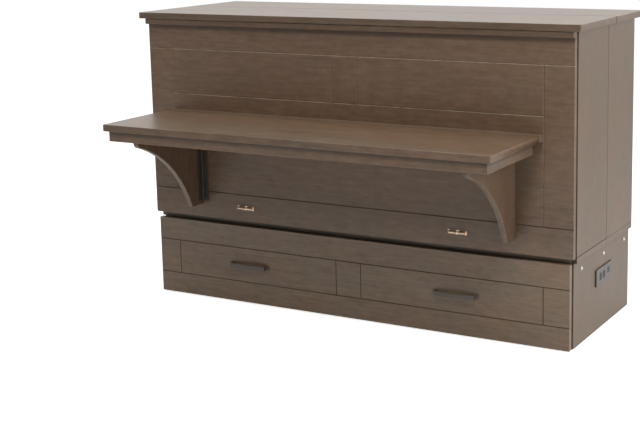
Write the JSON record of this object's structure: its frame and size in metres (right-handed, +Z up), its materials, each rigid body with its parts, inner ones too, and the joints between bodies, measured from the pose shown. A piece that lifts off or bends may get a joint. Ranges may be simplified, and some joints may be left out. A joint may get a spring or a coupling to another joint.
{
  "type": "cabinet bed",
  "caption": "Chest-shaped cabinet that opens into a bed, with a flip-back lid, swing-out side doors, a drop-down front, a drop-leaf desk on curved swing brackets and a rolling drawer.",
  "frame": {"origin": "middle of the whole outline on the floor, with the desk up", "axes": "+X along the front to the viewer's right, +Y from the front to the back, +Z up"},
  "size_m": [1.762, 1.021, 1.088],
  "materials": {
    "stained_wood": "grey-brown stain under satin lacquer",
    "plywood": "clear satin lacquer",
    "steel": "zinc plated",
    "brass": "bright",
    "dark_bronze": "oil-rubbed satin",
    "outlet_plastic": "satin",
    "felt": "pressed felt",
    "wheel_tread": "matte",
    "mattress_cover": "woven cotton"
  },
  "bodies": {
    "cabinet": {"upper_side_left": "stained_wood", "upper_side_right": "stained_wood", "upper_back": "plywood", "sleeping_deck": "plywood", "top_rear": "stained_wood", "base_side_left": "stained_wood", "base_side_right": "stained_wood", "base_back": "plywood", "deck_rail_left": "stained_wood", "deck_rail_right": "stained_wood", "deck_beam": "stained_wood", "drawer_guide_left": "stained_wood", "drawer_guide_right": "stained_wood", "side_bolt_left_1": "steel", "side_bolt_left_2": "steel", "side_bolt_left_3": "steel", "side_bolt_right_1": "steel", "side_bolt_right_2": "steel", "side_bolt_right_3": "steel", "power_outlet": "outlet_plastic", "mattress": "mattress_cover", "deck_hinge_fixed": "steel"},
    "lid": {"lid": "stained_wood"},
    "door_left": {"side_door_left": "stained_wood"},
    "door_right": {"side_door_right": "stained_wood"},
    "front": {"front_panel": "stained_wood", "cap_rail": "stained_wood", "foot_panel": "plywood", "foot_panel_hinge": "steel", "deck_hinge_moving": "steel", "desk_ledger": "stained_wood", "desk_hinge_fixed": "steel", "catch_left": "brass", "catch_right": "brass", "bracket_hinge_fixed_left": "steel", "bracket_hinge_fixed_right": "steel"},
    "leaf": {"desk_leaf": "stained_wood", "apron_front": "stained_wood", "apron_left": "stained_wood", "apron_right": "stained_wood", "rest_pad_left": "felt", "rest_pad_right": "felt", "desk_hinge_moving": "steel", "strike_left": "brass", "strike_right": "brass"},
    "bracket_left": {"bracket_left": "stained_wood", "bracket_hinge_moving_left": "steel"},
    "bracket_right": {"bracket_right": "stained_wood", "bracket_hinge_moving_right": "steel"},
    "drawer": {"drawer_front": "stained_wood", "drawer_side_left": "plywood", "drawer_side_right": "plywood", "drawer_back": "plywood", "drawer_bottom": "plywood", "pull_left": "dark_bronze", "pull_right": "dark_bronze"},
    "wheel_fl": {"wheel_front_left": "wheel_tread"},
    "wheel_fr": {"wheel_front_right": "wheel_tread"},
    "wheel_rl": {"wheel_rear_left": "wheel_tread"},
    "wheel_rr": {"wheel_rear_right": "wheel_tread"}
  },
  "joints": [
    {"name": "lid_flip", "type": "hinge", "parent": "cabinet", "child": "lid", "pos_m": [0, 0.2265, 1.0884], "axis": [-1, 0, 0], "range_deg": [0, 175]},
    {"name": "left_door_swing", "type": "hinge", "parent": "cabinet", "child": "door_left", "pos_m": [-0.8543, 0.2265, 0.69], "axis": [0, 0, -1], "range_deg": [0, 165]},
    {"name": "right_door_swing", "type": "hinge", "parent": "cabinet", "child": "door_right", "pos_m": [0.8543, 0.2265, 0.69], "axis": [0, 0, 1], "range_deg": [0, 165]},
    {"name": "front_panel_drop", "type": "hinge", "parent": "cabinet", "child": "front", "pos_m": [0, -0.0717, 0.3208], "axis": [1, 0, 0], "range_deg": [0, 90]},
    {"name": "desk_leaf_lift", "type": "hinge", "parent": "front", "child": "leaf", "pos_m": [0, -0.1355, 0.702], "axis": [-1, 0, 0], "range_deg": [0, 1.5]},
    {"name": "left_bracket_swing", "type": "hinge", "parent": "front", "child": "bracket_left", "pos_m": [-0.627, -0.0995, 0.53], "axis": [0, 0, 1], "range_deg": [0, 90]},
    {"name": "right_bracket_swing", "type": "hinge", "parent": "front", "child": "bracket_right", "pos_m": [0.627, -0.0995, 0.53], "axis": [0, 0, -1], "range_deg": [0, 90]},
    {"name": "drawer_roll_out", "type": "slide", "parent": "cabinet", "child": "drawer", "axis": [0, -1, 0], "range_m": [0, 1.4]},
    {"name": "wheel_spin_front_left", "type": "hinge", "parent": "drawer", "child": "wheel_fl", "pos_m": [-0.7461, -0.0055, 0.025], "axis": [1, 0, 0], "continuous": true},
    {"name": "wheel_spin_front_right", "type": "hinge", "parent": "drawer", "child": "wheel_fr", "pos_m": [0.7461, -0.0055, 0.025], "axis": [1, 0, 0], "continuous": true},
    {"name": "wheel_spin_rear_left", "type": "hinge", "parent": "drawer", "child": "wheel_rl", "pos_m": [-0.7461, 0.3755, 0.025], "axis": [1, 0, 0], "continuous": true},
    {"name": "wheel_spin_rear_right", "type": "hinge", "parent": "drawer", "child": "wheel_rr", "pos_m": [0.7461, 0.3755, 0.025], "axis": [1, 0, 0], "continuous": true}
  ]
}
